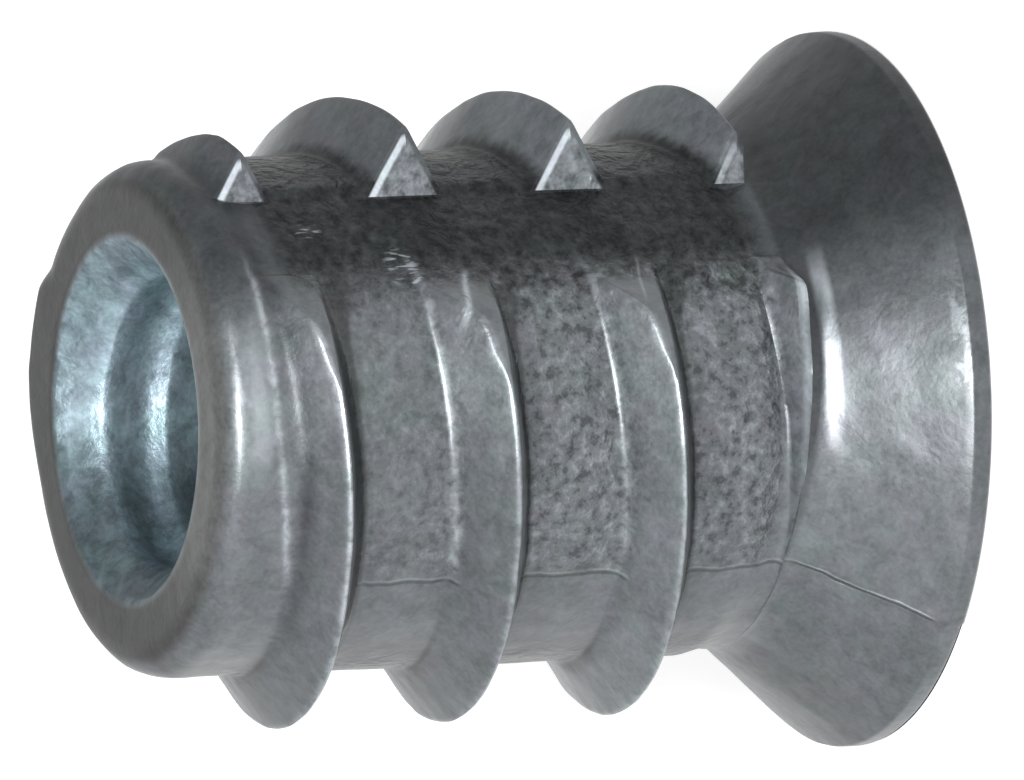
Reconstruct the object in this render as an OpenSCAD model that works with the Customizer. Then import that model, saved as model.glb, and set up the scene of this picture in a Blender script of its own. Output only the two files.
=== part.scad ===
// Threaded insert nut for wood, die-cast zinc alloy, hex drive, countersunk head.
// One solid piece.  Units are millimetres.
// Frame: the head face lies in z = 0 with its centre at the origin, and the
// threaded body points up +Z.  The part stands on its head.

/* [Body] */
// Length from the head face to the pilot end
body_length = 14; // [11:0.5:25]
// Diameter of the body between the ridges of the outer thread
root_d = 9.2; // [8.8:0.02:9.8]
// Radius on the outer edge of the pilot end
pilot_round = 0.65; // [0.2:0.05:0.8]
// Diameter of the plain neck below the outer thread
neck_d = 8.98; // [8.4:0.02:9.1]
// Height of the upper end of the neck above the head face
neck_top = 3.4; // [3:0.1:4.5]

/* [Head] */
// Diameter of the head
head_d = 12.9; // [11.5:0.1:13.5]
// Height of the cylindrical rim of the head
rim_height = 0.36; // [0.2:0.02:0.6]
// Radius on both edges of the rim
rim_round = 0.12; // [0.02:0.02:0.18]
// Included angle of the countersunk cone
cone_angle = 82; // [78:1:100]
// Radius of the fillet between the cone and the neck
cone_fillet = 1.3; // [0.4:0.1:1.8]

/* [Outer thread] */
// Diameter over the crest of the ridge
crest_d = 11.2; // [10:0.05:12]
// Rise of the single ridge in one turn
ridge_pitch = 3.2; // [2.6:0.1:4]
// Angle of the flank that faces the pilot end, measured from the radius
lead_flank = 37; // [25:1:45]
// Angle of the flank that faces the head, measured from the radius
load_flank = 28; // [15:1:35]
// Radius on the crest of the ridge
crest_round = 0.12; // [0.04:0.01:0.2]
// Distance from the pilot end to the crest where it first crosses the +X side
first_crest = 1.12; // [1:0.02:2]
// Turns before the +X side at which the ridge begins
start_turns = 0.035; // [0:0.005:0.1]
// Turns over which it would rise to its full height at its steep start
entry_turns = 0.13; // [0.05:0.01:0.3]
// Share of the full height at which the rise becomes gentle
start_share = 0.62; // [0.3:0.02:0.8]
// Turns over which the gentle rise reaches the full height
fade_turns = 0.55; // [0.3:0.05:1]
// Height above the head face of the flat wall that ends the thread
thread_end = 2.88; // [2.6:0.02:3.4]

/* [Gaps in the ridge] */
// Distance from the axis to both flat walls of a gap
gap_wall = 2.48; // [2:0.02:3]
// Share of the full height with which the ridge starts again after a gap
restart_height = 0.5; // [0.1:0.05:0.9]
// Angle over which it climbs back to its full height
restart_angle = 40; // [10:1:80]

/* [Bore] */
// Minor diameter of the 1/4-20 bore
bore_d = 5.1; // [4.9:0.02:5.3]
// Diameter of the countersink at the pilot end
mouth_d = 6.5; // [6.36:0.02:7.2]
// Included angle of that countersink
mouth_angle = 90; // [80:5:120]

/* [Hex socket] */
// Width across the flats
socket_af = 6.45; // [6.2:0.05:6.6]
// Depth below the head face
socket_depth = 4.5; // [3.5:0.1:6]
// Diameter of the chamfer at the mouth of the socket
socket_lead_d = 7.7; // [7.64:0.02:8.2]
// Diameter of the countersink where the bore meets the socket floor
floor_lead_d = 5.8; // [5.4:0.05:6.1]

/* [Hidden] */
$fn = 96;
zinc = [0.50, 0.51, 0.52];

root_r = root_d / 2;
neck_r = neck_d / 2;
head_r = head_d / 2;
crest_r = crest_d / 2;

// Countersunk cone: it runs from the rim up to the neck, at half the cone angle.
half_cone = cone_angle / 2;
cone_top = rim_height + (head_r - neck_r) / tan(half_cone);
fillet_run = cone_fillet * tan(half_cone / 2);

// Outer thread: the sweep has steps_per_turn sections in each turn, and its
// inner edge is sunk below the body's surface.
steps_per_turn = 60;
sunk_r = root_r - 0.3;
turn_first = -start_turns;
last_crest = body_length - thread_end
    + (crest_r - sunk_r) * tan(lead_flank) + crest_round;
turn_last = (last_crest - first_crest) / ridge_pitch;
step_count = ceil((turn_last - turn_first) * steps_per_turn);

// Bore and socket chamfers.
mouth_depth = (mouth_d - bore_d) / 2 / tan(mouth_angle / 2);
floor_lead_depth = (floor_lead_d - bore_d) / 2;
socket_corner_d = socket_af / cos(30);
socket_lead_depth = (socket_lead_d - socket_af) / 2;
through = 0.5;

// Half of the body's section, with the radius along X and the height along Y.
module body_section() {
    difference() {
        union() {
            translate([0, neck_top])
                square([root_r, body_length - neck_top]);
            translate([0, rim_height])
                square([neck_r, neck_top - rim_height + 0.01]);
            polygon([[0, rim_height], [head_r, rim_height],
                     [neck_r, cone_top], [0, cone_top]]);
            square([head_r, rim_height]);
            cone_fillet_section();
        }
        edge_cut([root_r, body_length], pilot_round, [1, 1]);
        edge_cut([head_r, 0], rim_round, [1, -1]);
        rim_top_cut();
    }
}

// Material that the fillet adds between the cone and the neck.
module cone_fillet_section() {
    difference() {
        polygon([[neck_r - 0.05, cone_top - 0.05],
                 [neck_r - 0.05, cone_top + fillet_run],
                 [neck_r, cone_top + fillet_run],
                 [neck_r + fillet_run * sin(half_cone),
                  cone_top - fillet_run * cos(half_cone)]]);
        translate([neck_r + cone_fillet, cone_top + fillet_run])
            circle(r = cone_fillet);
    }
}

// What a round edge takes away from a square corner.
module edge_cut(corner, r, way) {
    difference() {
        translate([corner[0] - way[0] * r / 2, corner[1] - way[1] * r / 2])
            square([r + 0.02, r + 0.02], center = true);
        translate([corner[0] - way[0] * r, corner[1] - way[1] * r])
            circle(r = r);
        translate([corner[0] - way[0] * (r + 1), corner[1]])
            square([2, 2 * r + 0.04], center = true);
        translate([corner[0], corner[1] - way[1] * (r + 1)])
            square([2 * r + 0.04, 2], center = true);
    }
}

// Round edge between the cone and the rim, which meet at less than a corner.
module rim_top_cut() {
    run = rim_round * tan(half_cone / 2);
    difference() {
        polygon([[head_r - run * sin(half_cone), rim_height + run * cos(half_cone)],
                 [head_r + 0.01, rim_height + run * cos(half_cone)],
                 [head_r + 0.01, rim_height - run],
                 [head_r, rim_height - run]]);
        translate([head_r - rim_round, rim_height - run])
            circle(r = rim_round);
    }
}

// Share of the full height that the ridge has t turns after the +X side.
function grown(t) =
    let (x = max(0, t - turn_first))
    min(1, x / entry_turns, start_share + (1 - start_share) * x / fade_turns);

// Share that is left of it behind each of the two gaps, where it starts low again
// and climbs back.
function climbed(t) =
    let (a = 360 * t - 180 * floor(2 * t), from = acos(gap_wall / root_r))
    a < 45 ? 1 : min(1, max(restart_height,
        restart_height + (1 - restart_height) * (a - from) / restart_angle));

// Section of the ridge at t turns: radius and height of its five corners.  Where
// the ridge climbs back it keeps the width of its foot and has a flat crest.
function ridge_section(t) =
    let (full = (crest_r - root_r) * grown(t),
         missing = full * (1 - climbed(t)),
         r = root_r + full - missing - (full > 0 ? 0 : 0.05),
         z = body_length - first_crest - ridge_pitch * t,
         lead_r = r - crest_round * (1 - sin(lead_flank)),
         load_r = r - crest_round * (1 - sin(load_flank)),
         lead_z = z + crest_round * cos(lead_flank) + missing * tan(lead_flank),
         load_z = z - crest_round * cos(load_flank) - missing * tan(load_flank))
    [[sunk_r, lead_z + (lead_r - sunk_r) * tan(lead_flank)],
     [lead_r, lead_z],
     [r, z],
     [load_r, load_z],
     [sunk_r, load_z - (load_r - sunk_r) * tan(load_flank)]];

// The whole ridge before it is cut: a right-hand helix, swept down from the
// pilot end.
module ridge_sweep() {
    points = [for (i = [0:step_count])
        let (t = turn_first + i / steps_per_turn, a = -360 * t)
        for (c = ridge_section(t)) [c[0] * cos(a), c[0] * sin(a), c[1]]];
    sides = [for (i = [0:step_count - 1], j = [0:4])
        let (k = (j + 1) % 5)
        for (f = [[5 * i + j, 5 * i + k, 5 * i + 5 + k],
                  [5 * i + j, 5 * i + 5 + k, 5 * i + 5 + j]]) f];
    first = [[0, 4, 3, 2, 1]];
    last = [[for (j = [0:4]) 5 * step_count + j]];
    polyhedron(points = points, faces = concat(sides, first, last), convexity = 6);
}

// The ridge with its flat lower end and its two gaps.  The walls of the gaps
// are parallel to the X and Y axes, the ways in which the mould opens.
module outer_thread() {
    reach = crest_r + 1;
    difference() {
        ridge_sweep();
        translate([0, 0, -1])
            cylinder(h = thread_end + 1, r = reach);
        for (side = [0, 180])
            rotate([0, 0, side])
                translate([gap_wall, -gap_wall - reach, -1])
                    cube([reach, reach, body_length + 2]);
    }
}

// Threaded bore at its minor diameter, with its countersinks.
module bore() {
    translate([0, 0, socket_depth - through])
        cylinder(h = body_length - socket_depth + 2 * through, d = bore_d);
    translate([0, 0, body_length - mouth_depth])
        cylinder(h = mouth_depth + through, d1 = bore_d,
                 d2 = mouth_d + 2 * through * tan(mouth_angle / 2));
    translate([0, 0, socket_depth])
        cylinder(h = floor_lead_depth, d1 = floor_lead_d, d2 = bore_d);
}

// Hexagonal drive socket in the head face, with its chamfered mouth.
module hex_socket() {
    translate([0, 0, -through])
        cylinder(h = socket_depth + through, d = socket_corner_d, $fn = 6);
    translate([0, 0, -through])
        cylinder(h = socket_lead_depth + through,
                 d1 = socket_lead_d + 2 * through, d2 = socket_af);
}

module insert_nut() {
    color(zinc)
    difference() {
        union() {
            rotate_extrude() body_section();
            outer_thread();
        }
        bore();
        hex_socket();
    }
}

insert_nut();
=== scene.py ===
"""Scene of a die-cast threaded insert nut for wood, standing on its countersunk head.

Every length is in millimetres until the last step of the node tree, which turns
the mesh into metres.  The angle round the axis is counted from +X, clockwise
when it is seen from the pilot end, so the ridge falls towards the head as the
angle grows.
"""
import logging
import math
from dataclasses import asdict, dataclass, field
from enum import Enum
from typing import Callable, Optional, Sequence, Union

import bpy
from mathutils import Matrix, Vector


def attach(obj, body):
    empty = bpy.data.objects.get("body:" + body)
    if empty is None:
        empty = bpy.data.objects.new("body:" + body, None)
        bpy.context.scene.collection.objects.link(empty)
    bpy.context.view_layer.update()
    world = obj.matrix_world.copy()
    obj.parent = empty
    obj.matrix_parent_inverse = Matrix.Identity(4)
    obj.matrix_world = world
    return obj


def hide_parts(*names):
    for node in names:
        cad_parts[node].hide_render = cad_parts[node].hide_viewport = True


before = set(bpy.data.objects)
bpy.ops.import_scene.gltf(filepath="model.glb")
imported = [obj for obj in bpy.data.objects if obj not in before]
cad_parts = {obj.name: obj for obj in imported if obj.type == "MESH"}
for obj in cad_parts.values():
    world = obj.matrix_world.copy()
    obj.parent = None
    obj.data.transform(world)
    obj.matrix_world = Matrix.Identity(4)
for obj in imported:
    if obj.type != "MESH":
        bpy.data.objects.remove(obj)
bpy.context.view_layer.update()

LOG = logging.getLogger("insert_nut")

Number = Union[float, int, "Term"]
Shade = tuple[float, float, float]
RADIAN = math.pi / 180


# ---------------------------------------------------------------- node trees
@dataclass(frozen=True, eq=False)
class Term:
    """A number that a node tree works out, with the usual signs of arithmetic."""

    sheet: "Sheet"
    socket: bpy.types.NodeSocket

    def __add__(self, other: Number) -> "Term":
        """Adds."""
        return self.sheet.sum("ADD", self, other)

    __radd__ = __add__

    def __sub__(self, other: Number) -> "Term":
        """Subtracts another number from this one."""
        return self.sheet.sum("SUBTRACT", self, other)

    def __rsub__(self, other: Number) -> "Term":
        """Subtracts this number from another."""
        return self.sheet.sum("SUBTRACT", other, self)

    def __mul__(self, other: Number) -> "Term":
        """Multiplies."""
        return self.sheet.sum("MULTIPLY", self, other)

    __rmul__ = __mul__

    def __truediv__(self, other: Number) -> "Term":
        """Divides this number by another."""
        return self.sheet.sum("DIVIDE", self, other)

    def __rtruediv__(self, other: Number) -> "Term":
        """Divides another number by this one."""
        return self.sheet.sum("DIVIDE", other, self)

    def __gt__(self, other: Number) -> "Term":
        """Gives 1 where this number is the greater, and 0 elsewhere."""
        return self.sheet.sum("GREATER_THAN", self, other)

    def __lt__(self, other: Number) -> "Term":
        """Gives 1 where this number is the smaller, and 0 elsewhere."""
        return self.sheet.sum("LESS_THAN", self, other)


class Sheet:
    """A node tree, geometry or shader, with its sums laid out as Math nodes."""

    def __init__(self, tree: bpy.types.NodeTree) -> None:
        """Starts on a tree.

        Args:
            tree: The node tree that takes the nodes.
        """
        self.tree = tree
        self.known: dict[tuple, tuple[Term, Sequence[Number]]] = {}

    def once(self, kind: str, parts: Sequence[Number],
             make: Callable[[], Term]) -> Term:
        """Gives a sum that was made before, or makes it.

        Args:
            kind: What the sum does.
            parts: Its operands.
            make: Makes it when it isn't known yet.

        Returns:
            The sum's result.
        """
        key = (kind,) + tuple(
            id(part) if isinstance(part, Term) else float(part) for part in parts)
        if key not in self.known:
            self.known[key] = (make(), parts)
        return self.known[key][0]

    def node(self, kind: str, **settings: object) -> bpy.types.Node:
        """Adds a node.

        Args:
            kind: Blender's name of the node's type.
            settings: Properties of the node, by name.

        Returns:
            The new node.
        """
        made = self.tree.nodes.new(kind)
        for name, value in settings.items():
            setattr(made, name, value)
        return made

    def put(self, slot: bpy.types.NodeSocket, value: object) -> None:
        """Links a term or a socket to an input, or writes a plain value on it.

        Args:
            slot: The input socket.
            value: A term, an output socket or a constant.
        """
        if isinstance(value, Term):
            self.tree.links.new(value.socket, slot)
        elif isinstance(value, bpy.types.NodeSocket):
            self.tree.links.new(value, slot)
        else:
            slot.default_value = value

    def sum(self, operation: str, *parts: Number) -> Term:
        """Adds a Math node.

        Args:
            operation: The node's operation.
            parts: Its one, two or three operands.

        Returns:
            The node's result.
        """
        def make() -> Term:
            """Adds the node.

            Returns:
                Its result.
            """
            made = self.node("ShaderNodeMath", operation=operation)
            for slot, part in zip(made.inputs, parts):
                self.put(slot, part)
            return Term(self, made.outputs[0])

        return self.once(operation, parts, make)

    def low(self, first: Number, second: Number) -> Term:
        """Gives the smaller of two numbers."""
        return self.sum("MINIMUM", first, second)

    def high(self, first: Number, second: Number) -> Term:
        """Gives the greater of two numbers."""
        return self.sum("MAXIMUM", first, second)

    def soft_low(self, first: Number, second: Number, blend: Number) -> Term:
        """Gives the smaller of two numbers, rounded where they meet."""
        return self.sum("SMOOTH_MIN", first, second, blend)

    def soft_high(self, first: Number, second: Number, blend: Number) -> Term:
        """Gives the greater of two numbers, rounded where they meet."""
        return self.sum("SMOOTH_MAX", first, second, blend)

    def limit(self, value: Number, least: Number, most: Number) -> Term:
        """Holds a number between two others."""
        return self.low(self.high(value, least), most)

    def floor(self, value: Number) -> Term:
        """Gives the whole number below a number."""
        return self.sum("FLOOR", value)

    def past(self, value: Number, step: float) -> Term:
        """Gives how far a number has come since the last whole number of steps."""
        return value - self.floor(value * (1.0 / step)) * step

    def sine(self, degrees: Number) -> Term:
        """Gives the sine of an angle in degrees."""
        return self.sum("SINE", degrees * RADIAN)

    def cosine(self, degrees: Number) -> Term:
        """Gives the cosine of an angle in degrees."""
        return self.sum("COSINE", degrees * RADIAN)

    def tangent(self, degrees: Number) -> Term:
        """Gives the tangent of an angle in degrees."""
        return self.sum("TANGENT", degrees * RADIAN)

    def root(self, value: Number) -> Term:
        """Gives the square root of a number, or 0 where it is negative."""
        return self.sum("SQRT", value)

    def changed(self, mask: Number, share: float) -> Term:
        """Gives a factor that is 1 outside a mask and grows by a share inside it."""
        return self.sum("MULTIPLY_ADD", mask, share, 1.0)

    def ramp(self, value: Number, start: Number, end: Number,
             low: Number = 0.0, high: Number = 1.0, smooth: bool = True) -> Term:
        """Maps a range of a number to another range, held at both ends.

        Args:
            value: The number.
            start: Where the ramp begins.
            end: Where it ends.
            low: The result at the start.
            high: The result at the end.
            smooth: True for a ramp with eased ends.

        Returns:
            The mapped number.
        """
        kind = "SMOOTHSTEP" if smooth else "LINEAR"
        parts = (value, start, end, low, high)

        def make() -> Term:
            """Adds the node.

            Returns:
                Its result.
            """
            made = self.node("ShaderNodeMapRange", clamp=True, interpolation_type=kind)
            for slot, part in zip(made.inputs[:5], parts):
                self.put(slot, part)
            return Term(self, made.outputs[0])

        return self.once(kind, parts, make)

    def within(self, value: Number, start: float, end: float, edge: float) -> Term:
        """Gives 1 inside a range and 0 outside it, with eased edges.

        Args:
            value: The number.
            start: Lower end of the range.
            end: Upper end of the range.
            edge: Width of each eased edge.

        Returns:
            The mask.
        """
        return (self.ramp(value, start - edge, start + edge)
                * self.ramp(value, end - edge, end + edge, 1.0, 0.0))

    def bump(self, value: Number, centre: float, width: float) -> Term:
        """Gives a bell of height 1 round a value.

        Args:
            value: The number.
            centre: Where the bell is highest.
            width: Half of its width at a third of its height.

        Returns:
            The bell's height.
        """
        away = self.sum("MULTIPLY_ADD", value, 1.0 / width, -centre / width)
        return self.sum("EXPONENT", away * away * -1.0)

    def stations(self, step: Number, legs: Sequence[tuple[int, Number]]) -> Term:
        """Adds up straight legs, each walked in a whole number of steps.

        Args:
            step: How many steps have been taken.
            legs: The steps of each leg, and how far it goes.

        Returns:
            How far the walk has come.
        """
        place: Optional[Term] = None
        taken = 0
        for steps, length in legs:
            share = self.limit(step - taken, 0.0, steps) * (1.0 / steps)
            part = share * length
            place = part if place is None else place + part
            taken += steps
        return place

    def vector(self, x: Number, y: Number, z: Number) -> bpy.types.NodeSocket:
        """Joins three numbers to a vector.

        Args:
            x: First number.
            y: Second number.
            z: Third number.

        Returns:
            The vector.
        """
        made = self.node("ShaderNodeCombineXYZ")
        for slot, part in zip(made.inputs, (x, y, z)):
            self.put(slot, part)
        return made.outputs[0]

    def noise(self, place: bpy.types.NodeSocket, scale: float, detail: float = 2.0,
              rough: float = 0.5, swirl: float = 0.0) -> Term:
        """Gives fractal noise round a half.

        Args:
            place: Where it is read.
            scale: Lumps to a unit of length.
            detail: Finer layers added.
            rough: Weight of the finer layers.
            swirl: How far the lumps are drawn out of shape.

        Returns:
            The noise, mostly between 0.3 and 0.7.
        """
        made = self.node("ShaderNodeTexNoise", noise_dimensions="3D")
        self.put(made.inputs["Vector"], place)
        for name, value in (("Scale", scale), ("Detail", detail),
                            ("Roughness", rough), ("Distortion", swirl)):
            made.inputs[name].default_value = value
        return Term(self, made.outputs[0])

    def split(self, vector: bpy.types.NodeSocket) -> tuple[Term, Term, Term]:
        """Splits a vector into three numbers."""
        made = self.node("ShaderNodeSeparateXYZ")
        self.put(made.inputs[0], vector)
        return tuple(Term(self, slot) for slot in made.outputs)


# ---------------------------------------------------------------- sizes
@dataclass(frozen=True)
class InsertSizes:
    """Sizes of the insert nut, in millimetres, degrees and turns."""

    body_length: float = 14.0
    root_r: float = 4.6
    pilot_round: float = 0.65
    sharp_round: float = 0.25
    face_edge: float = 0.3
    neck_r: float = 4.49
    neck_top: float = 3.4
    head_r: float = 6.45
    rim_height: float = 0.36
    rim_round: float = 0.12
    half_cone: float = 41.0
    cone_fillet: float = 1.3
    crest_r: float = 5.6
    ridge_pitch: float = 3.2
    lead_flank: float = 37.0
    load_flank: float = 28.0
    crest_soft: float = 0.34
    root_soft: float = 0.16
    first_crest: float = 1.12
    start_turns: float = 0.035
    entry_turns: float = 0.13
    start_share: float = 0.62
    fade_turns: float = 0.55
    thread_end: float = 2.88
    gap_wall: float = 2.48
    gap_depth: float = 0.11
    restart_share: float = 0.52
    restart_angle: float = 46.0
    bore_r: float = 2.55
    groove_r: float = 2.74
    bore_pitch: float = 1.27
    bore_phase: float = -0.36
    mouth_r: float = 3.25
    mouth_round: float = 0.08
    socket_af: float = 6.45
    socket_depth: float = 4.5
    socket_lead_r: float = 3.85
    floor_lead_r: float = 2.9
    low_sector_shift: float = 0.09


@dataclass(frozen=True)
class Line:
    """A straight leg of a section: its steps and its change of radius and height."""

    steps: int
    out: Number
    up: Number


@dataclass(frozen=True)
class Arc:
    """A round leg: its steps, radius, first and last heading, and way of turning."""

    steps: int
    radius: Number
    first: Number
    last: Number
    way: float


class Seam(Enum):
    """Angles of the mould's parting lines and of the hidden gap, in degrees."""

    LOWER = 131.0
    HIDDEN_GAP = 221.0
    UPPER = 311.0


class Thread:
    """Form of the outer ridge, as sums that geometry and finish share."""

    # Angles in each half turn, in degrees, and turns of the ridge.
    RESTART_FROM = 57.0
    RESTART_TO = 75.0
    LAST_RESTART = 3.0
    # Reach of the blend between the climbing roof and the ridge's sides.
    ROOF_SOFT = 0.14

    def __init__(self, sheet: Sheet, sizes: dict[str, Number]) -> None:
        """Takes the tree and the sizes.

        Args:
            sheet: The tree that works the sums out.
            sizes: Sizes by name, as terms or plain numbers.
        """
        self.sheet = sheet
        self.sizes = sizes

    def place(self, height: Number, angle: Number) -> tuple[Term, Term]:
        """Finds the nearest turn of the ridge.

        Args:
            height: Height above the head face.
            angle: Angle round the axis.

        Returns:
            The turns walked along the ridge since it crossed the +X side, and
            the offset from its crest, which grows towards the head.
        """
        sheet, size = self.sheet, self.sizes
        share = angle * (1 / 360)
        below = size["body_length"] - size["first_crest"] - height
        along = below / size["ridge_pitch"] - share
        whole = sheet.sum("ROUND", along)
        return whole + share, (along - whole) * size["ridge_pitch"]

    def grown(self, turns: Term) -> Term:
        """Gives the share of its full size that the ridge has where it begins.

        Args:
            turns: Turns walked along the ridge.

        Returns:
            The share, from 0 to 1.
        """
        sheet, size = self.sheet, self.sizes
        since = sheet.high(turns + size["start_turns"], 0.0)
        steep = since / size["entry_turns"]
        gentle = size["start_share"] + since * ((1.0 - size["start_share"])
                                                / size["fade_turns"])
        return sheet.low(sheet.low(steep, gentle), 1.0)

    def climbed(self, turns: Term) -> Term:
        """Gives the share of its height that the ridge has got back behind a gap.

        Args:
            turns: Turns walked along the ridge.

        Returns:
            The share, from 0 to 1.
        """
        sheet, size = self.sheet, self.sizes
        angle = (turns * 2.0 - sheet.floor(turns * 2.0)) * 180.0
        left = 1.0 - sheet.limit((angle - self.RESTART_FROM) / size["restart_angle"],
                                 0.0, 1.0)
        climb = 1.0 - (1.0 - size["restart_share"]) * left * left * (
            turns < self.LAST_RESTART)
        climb = climb * sheet.ramp(angle, self.RESTART_FROM, self.RESTART_TO)
        after = angle > 45.0
        return after * climb + (1.0 - after)

    def full(self, turns: Term) -> Term:
        """Gives the height of the ridge over the body, before it starts again low."""
        size = self.sizes
        return (size["crest_r"] - size["root_r"]) * self.grown(turns) \
            * self.runout(turns)

    def first_turn(self, turns: Term) -> Term:
        """Gives 1 where the ridge's first turn faces the front."""
        return self.sheet.bump(turns, 0.27, 0.13)

    def radius(self, height: Number, angle: Number) -> Term:
        """Gives the radius of the ridge with its rounded crest and roots.

        Args:
            height: Height above the head face.
            angle: Angle round the axis.

        Returns:
            The radius of the outer wall, before the gaps are cut.
        """
        sheet, size = self.sheet, self.sizes
        turns, offset = self.place(height, angle)
        climbed, full = self.climbed(turns), self.full(turns)
        soft = size["crest_soft"]
        peak = size["root_r"] + full + soft * (1 / 6)
        lead = peak + offset / (size["lead_tan"] * self.spread(turns))
        load = peak - offset / size["load_tan"]
        roof = size["root_r"] + full * climbed + sheet.ramp(
            climbed, 0.88, 1.0, 0.0, 0.3)
        ridge = sheet.soft_low(sheet.soft_low(lead, load, soft), roof, self.ROOF_SOFT)
        ridge = ridge - sheet.ramp(self.grown(turns), 0.0, 0.15, 0.3, 0.0, smooth=False)
        floor = self.base(height, angle) + self.shelf(turns, offset)
        soft = size["root_soft"] * sheet.changed(self.first_turn(turns), 2.4)
        return sheet.soft_high(ridge, floor, soft)

    def runout(self, turns: Term) -> Term:
        """Gives how much lower the ridge is at its last gap."""
        return 1.0 - self.sheet.bump(turns, 3.10, 0.05) * 0.36

    def spread(self, turns: Term) -> Term:
        """Gives how much wider the flank is that faces the pilot end."""
        bump = self.sheet.bump
        return 1.0 + bump(turns, 1.26, 0.15) * 0.15 - bump(turns, 3.24, 0.12) * 0.17

    def shelf(self, turns: Term, offset: Term) -> Term:
        """Gives the low shelf ahead of the ridge's first turn.

        Args:
            turns: Turns walked along the ridge.
            offset: Offset from the crest, towards the head.

        Returns:
            How high the shelf stands on the body.
        """
        sheet = self.sheet
        rise = sheet.ramp(offset, -1.08, -0.97, 0.0, 0.05) + sheet.high(
            offset + 1.0, 0.0) * 0.16
        return rise * sheet.bump(turns, 0.27, 0.11) * sheet.ramp(
            offset, 0.0, 0.2, 1.0, 0.0)

    def corner(self, angle: Number) -> Term:
        """Gives the radius on the outer edge of the pilot end at an angle.

        Args:
            angle: Angle round the axis.

        Returns:
            The radius.
        """
        sheet, size = self.sheet, self.sizes
        back = sheet.ramp(angle, 250.0, 284.0) * sheet.ramp(
            angle, Seam.UPPER.value - 9.0, Seam.UPPER.value, 1.0, 0.0)
        return size["pilot_round"] + (size["sharp_round"] - size["pilot_round"]) * back

    def base(self, height: Number, angle: Number) -> Term:
        """Gives the radius of the body under the ridge.

        Args:
            height: Height above the head face.
            angle: Angle round the axis.

        Returns:
            The radius, with the rounded pilot end and the hollow of the gaps.
        """
        sheet, size = self.sheet, self.sizes
        plain = sheet.ramp(height, size["neck_top"] - 0.28, size["neck_top"] + 0.28,
                           size["neck_r"], size["root_r"]) + self.flare(height)
        bend = self.corner(angle)
        over = sheet.high(height - (size["body_length"] - bend), 0.0)
        half = sheet.past(angle, 180.0)
        hollow = sheet.ramp(half, 30.5, 33.5) * sheet.ramp(half, 54.0, 61.0, 1.0, 0.0)
        return plain - (bend - sheet.root(bend * bend - over * over)) \
            - hollow * self.gap_floor(height)

    def gap_floor(self, height: Number) -> Term:
        """Gives the depth of a gap's floor, which fades out at both ends."""
        ramp = self.sheet.ramp
        return ramp(height, 12.6, 13.3, 1.0, 0.0) * ramp(height, 2.9, 3.5) \
            * self.sizes["gap_depth"]

    def fillet_top(self) -> Number:
        """Gives the height at which the fillet of the cone meets the neck.

        Returns:
            The height.
        """
        sheet, size = self.sheet, self.sizes
        half = size["half_cone"]
        return size["rim_height"] + (size["head_r"] - size["neck_r"]) \
            / sheet.tangent(half) + size["cone_fillet"] * sheet.tangent(half * 0.5)

    def flare(self, height: Number) -> Term:
        """Gives how far the cone's fillet stands out from the neck at a height."""
        sheet, bend = self.sheet, self.sizes["cone_fillet"]
        below = sheet.high(self.fillet_top() - height, 0.0)
        return bend - sheet.root(bend * bend - below * below)

    def gapped(self, ridge: Term, angle: Number) -> Term:
        """Cuts the ridge where the two gaps are.

        Args:
            ridge: Radius of the ridge before it is cut.
            angle: Angle round the axis.

        Returns:
            The radius with a crisp wall to the front and a blunt one behind it.
        """
        sheet, wall = self.sheet, self.sizes["gap_wall"]
        sine = sheet.sum("ABSOLUTE", sheet.sine(angle))
        cosine = sheet.sum("ABSOLUTE", sheet.cosine(angle))
        inside = (sheet.sine(angle) * sheet.cosine(angle)) > 0.0
        crisp = wall / sheet.high(sine * inside, 0.02)
        blunt = wall / sheet.high(cosine * inside, 0.02)
        late = sine > cosine
        cut = sheet.low(ridge, crisp) * (1.0 - late)
        return cut + sheet.soft_low(ridge, blunt, 0.3) * late


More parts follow.
